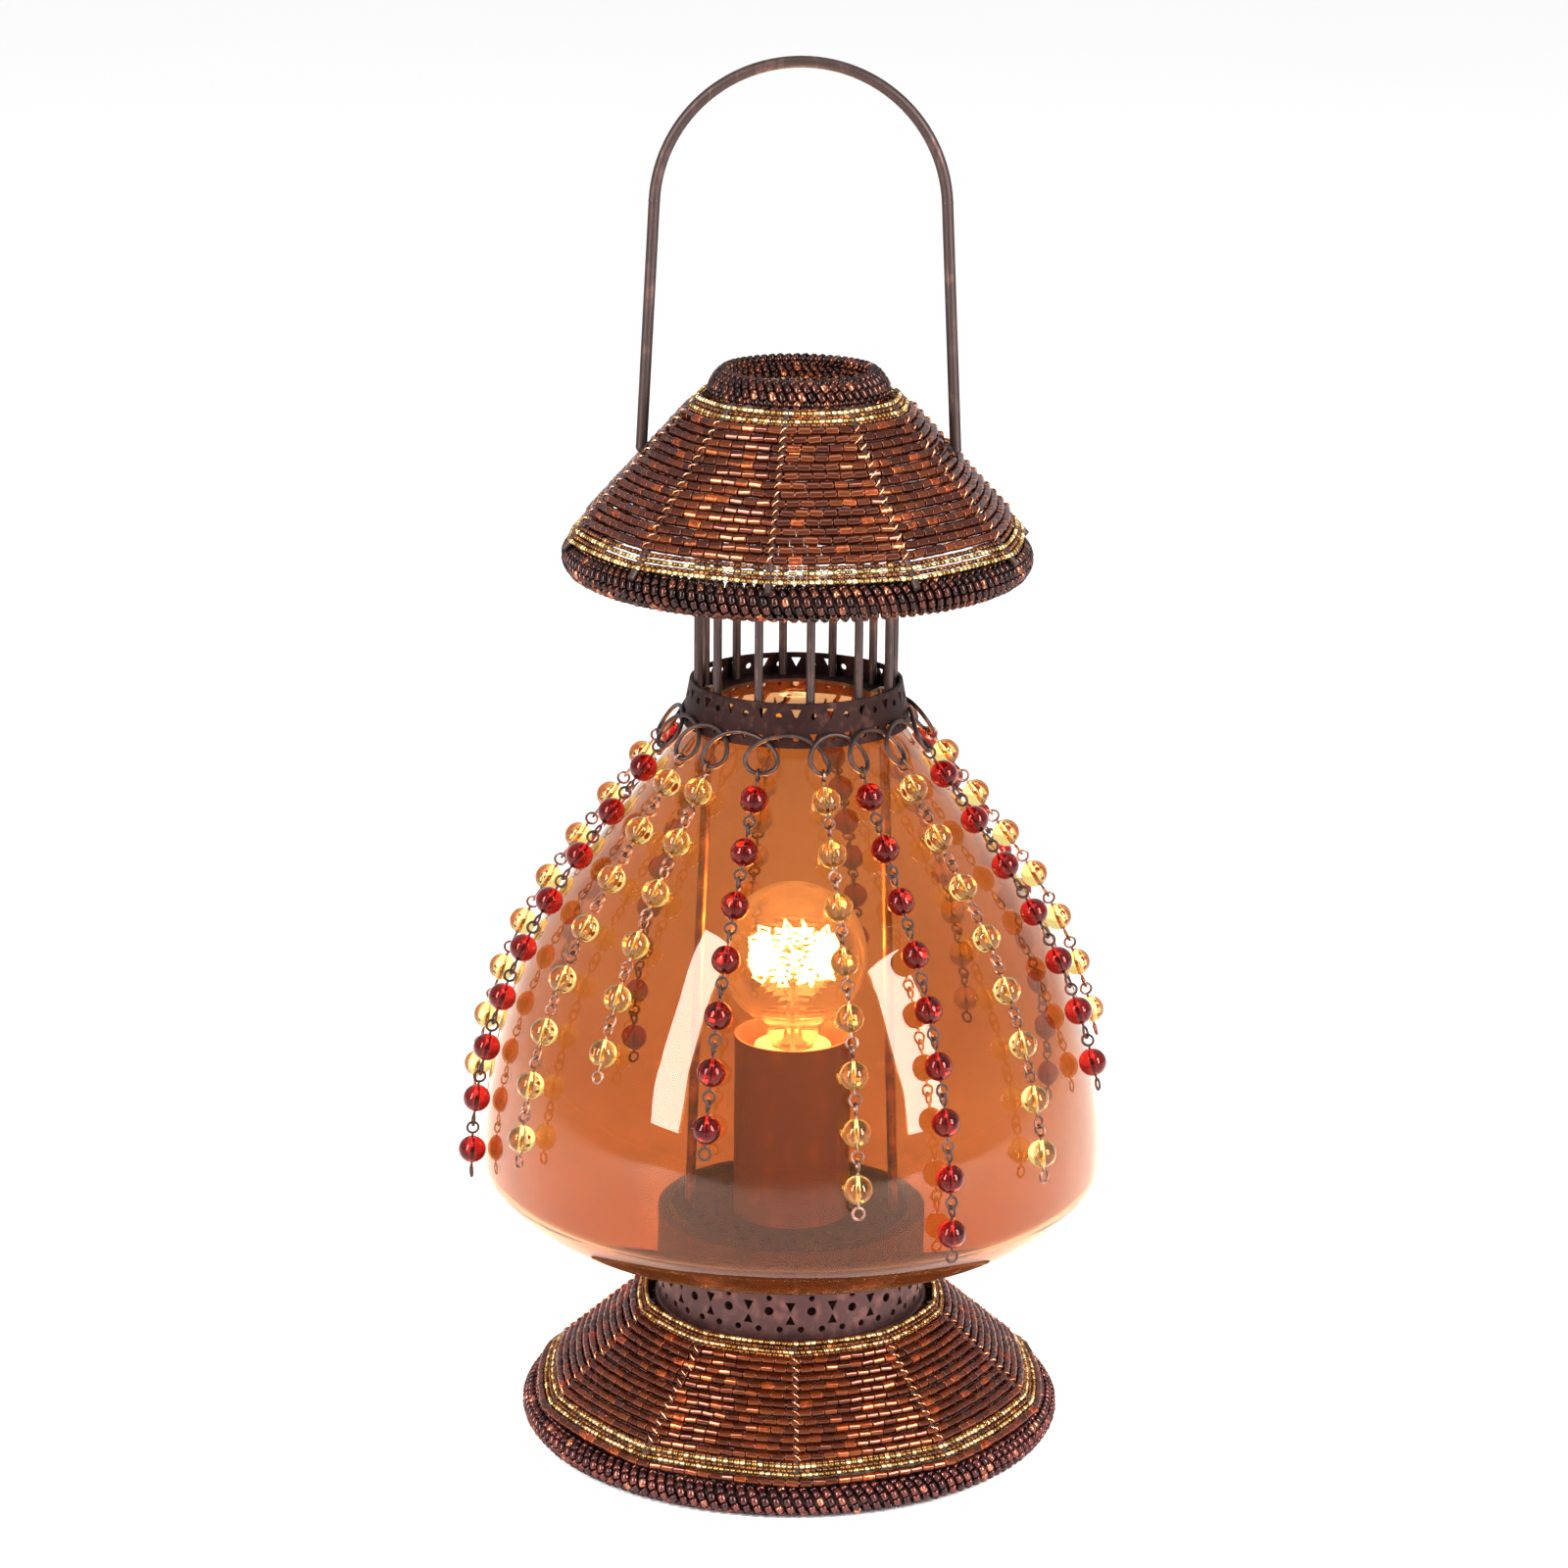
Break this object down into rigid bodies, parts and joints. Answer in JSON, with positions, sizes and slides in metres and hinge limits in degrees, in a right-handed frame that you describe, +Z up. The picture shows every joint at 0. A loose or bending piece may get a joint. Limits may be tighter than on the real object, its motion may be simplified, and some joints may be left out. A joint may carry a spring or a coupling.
{
  "type": "table lamp",
  "caption": "Lantern table lamp: amber glass globe on a beaded wire base, beaded roof on posts, bail handle, and bead strands hung round the globe.",
  "frame": {"origin": "middle of the base on the table", "axes": "+Z up, front at -Y, the bail's legs on the X axis"},
  "size_m": [0.1981, 0.2009, 0.4206],
  "materials": {
    "brown_beads": "glossy dark red-brown glass beads with a copper lining",
    "gold_beads": "gold-lined seed beads",
    "clear_amber_beads": "pale amber clear glass",
    "red_brown_beads": "dark red-brown glass",
    "amber_glass": "transparent amber glass, smooth",
    "dark_wire": "dark brown patina on steel",
    "copper_wire": "bright copper-coloured wire",
    "brass_thread": "turned brass",
    "black_plastic": "moulded, satin",
    "bulb_glass": "clear bulb glass",
    "cap_metal": "nickel-plated screw cap",
    "filament_wire": "glowing filament"
  },
  "bodies": {
    "lamp": {"base_rim_beads": "brown_beads", "base_frame": "dark_wire", "base_bugle_rows": "brown_beads", "base_gold_rows": "gold_beads", "base_plate": "dark_wire", "cord_bushing": "black_plastic", "lower_collar": "dark_wire", "seat_plate": "dark_wire", "threaded_nipple": "brass_thread", "nipple_nuts": "brass_thread", "lampholder_sleeve": "dark_wire", "lampholder": "black_plastic", "lampholder_contacts": "brass_thread", "glass_globe": "amber_glass", "stay_rods": "copper_wire", "stay_rod_nuts": "copper_wire", "upper_collar": "dark_wire", "petal_wire": "dark_wire", "neck_posts": "dark_wire", "roof_frame": "dark_wire", "roof_bugle_rows": "brown_beads", "roof_gold_rows": "gold_beads", "roof_rim_beads": "brown_beads", "crown_beads": "brown_beads"},
    "bail": {"bail_handle": "dark_wire"},
    "bulb": {"bulb_glass": "bulb_glass", "bulb_cap": "cap_metal", "bulb_filament": "filament_wire"},
    "strand_01": {"strand_01_beads": "clear_amber_beads", "strand_01_pins": "copper_wire"},
    "strand_02": {"strand_02_beads": "red_brown_beads", "strand_02_pins": "dark_wire"},
    "strand_03": {"strand_03_beads": "clear_amber_beads", "strand_03_pins": "copper_wire"},
    "strand_04": {"strand_04_beads": "clear_amber_beads", "strand_04_pins": "copper_wire"},
    "strand_05": {"strand_05_beads": "red_brown_beads", "strand_05_pins": "dark_wire"},
    "strand_06": {"strand_06_beads": "clear_amber_beads", "strand_06_pins": "copper_wire"},
    "strand_07": {"strand_07_beads": "red_brown_beads", "strand_07_pins": "dark_wire"},
    "strand_08": {"strand_08_beads": "clear_amber_beads", "strand_08_pins": "copper_wire"},
    "strand_09": {"strand_09_beads": "red_brown_beads", "strand_09_pins": "dark_wire"},
    "strand_10": {"strand_10_beads": "clear_amber_beads", "strand_10_pins": "copper_wire"},
    "strand_11": {"strand_11_beads": "red_brown_beads", "strand_11_pins": "dark_wire"},
    "strand_12": {"strand_12_beads": "clear_amber_beads", "strand_12_pins": "copper_wire"},
    "strand_13": {"strand_13_beads": "red_brown_beads", "strand_13_pins": "dark_wire"},
    "strand_14": {"strand_14_beads": "clear_amber_beads", "strand_14_pins": "copper_wire"},
    "strand_15": {"strand_15_beads": "red_brown_beads", "strand_15_pins": "dark_wire"},
    "strand_16": {"strand_16_beads": "red_brown_beads", "strand_16_pins": "dark_wire"}
  },
  "joints": [
    {"name": "bail_swing", "type": "hinge", "parent": "lamp", "child": "bail", "pos_m": [0, 0, 0.306], "axis": [1, 0, 0], "range_deg": [-75, 75]},
    {"name": "bulb_screw", "type": "hinge", "parent": "lamp", "child": "bulb", "pos_m": [0, 0, 0.1078], "axis": [0, 0, 1], "range_deg": [0, 1080]},
    {"name": "strand_01_swing", "type": "hinge", "parent": "lamp", "child": "strand_01", "pos_m": [-0.04145, 0.00414, 0.21747], "axis": [0.0993, 0.9951, 0], "range_deg": [0, 35]},
    {"name": "strand_02_swing", "type": "hinge", "parent": "lamp", "child": "strand_02", "pos_m": [-0.0406, -0.0093, 0.21747], "axis": [-0.2233, 0.9748, 0], "range_deg": [0, 35]},
    {"name": "strand_03_swing", "type": "hinge", "parent": "lamp", "child": "strand_03", "pos_m": [-0.03391, -0.02419, 0.21747], "axis": [-0.5807, 0.8141, 0], "range_deg": [0, 35]},
    {"name": "strand_04_swing", "type": "hinge", "parent": "lamp", "child": "strand_04", "pos_m": [-0.02553, -0.03291, 0.21747], "axis": [-0.7902, 0.6129, 0], "range_deg": [0, 35]},
    {"name": "strand_05_swing", "type": "hinge", "parent": "lamp", "child": "strand_05", "pos_m": [-0.01085, -0.04022, 0.21747], "axis": [-0.9655, 0.2605, 0], "range_deg": [0, 35]},
    {"name": "strand_06_swing", "type": "hinge", "parent": "lamp", "child": "strand_06", "pos_m": [0.00802, -0.04088, 0.21747], "axis": [-0.9813, -0.1925, 0], "range_deg": [0, 35]},
    {"name": "strand_07_swing", "type": "hinge", "parent": "lamp", "child": "strand_07", "pos_m": [0.01936, -0.03688, 0.21747], "axis": [-0.8854, -0.4648, 0], "range_deg": [0, 35]},
    {"name": "strand_08_swing", "type": "hinge", "parent": "lamp", "child": "strand_08", "pos_m": [0.0311, -0.02771, 0.21747], "axis": [-0.6652, -0.7466, 0], "range_deg": [0, 35]},
    {"name": "strand_09_swing", "type": "hinge", "parent": "lamp", "child": "strand_09", "pos_m": [0.03953, -0.01315, 0.21747], "axis": [-0.3156, -0.9489, 0], "range_deg": [0, 35]},
    {"name": "strand_10_swing", "type": "hinge", "parent": "lamp", "child": "strand_10", "pos_m": [0.04072, 0.0088, 0.21747], "axis": [0.2113, -0.9774, 0], "range_deg": [0, 35]},
    {"name": "strand_11_swing", "type": "hinge", "parent": "lamp", "child": "strand_11", "pos_m": [0.03533, 0.02207, 0.21747], "axis": [0.5299, -0.848, 0], "range_deg": [0, 35]},
    {"name": "strand_12_swing", "type": "hinge", "parent": "lamp", "child": "strand_12", "pos_m": [0.02448, 0.0337, 0.21747], "axis": [0.809, -0.5878, 0], "range_deg": [0, 35]},
    {"name": "strand_13_swing", "type": "hinge", "parent": "lamp", "child": "strand_13", "pos_m": [0.00937, 0.04059, 0.21747], "axis": [0.9744, -0.225, 0], "range_deg": [0, 35]},
    {"name": "strand_14_swing", "type": "hinge", "parent": "lamp", "child": "strand_14", "pos_m": [-0.00652, 0.04114, 0.21747], "axis": [0.9877, 0.1564, 0], "range_deg": [0, 35]},
    {"name": "strand_15_swing", "type": "hinge", "parent": "lamp", "child": "strand_15", "pos_m": [-0.02207, 0.03533, 0.21747], "axis": [0.848, 0.5299, 0], "range_deg": [0, 35]},
    {"name": "strand_16_swing", "type": "hinge", "parent": "lamp", "child": "strand_16", "pos_m": [-0.0337, 0.02448, 0.21747], "axis": [0.5878, 0.809, 0], "range_deg": [0, 35]}
  ]
}
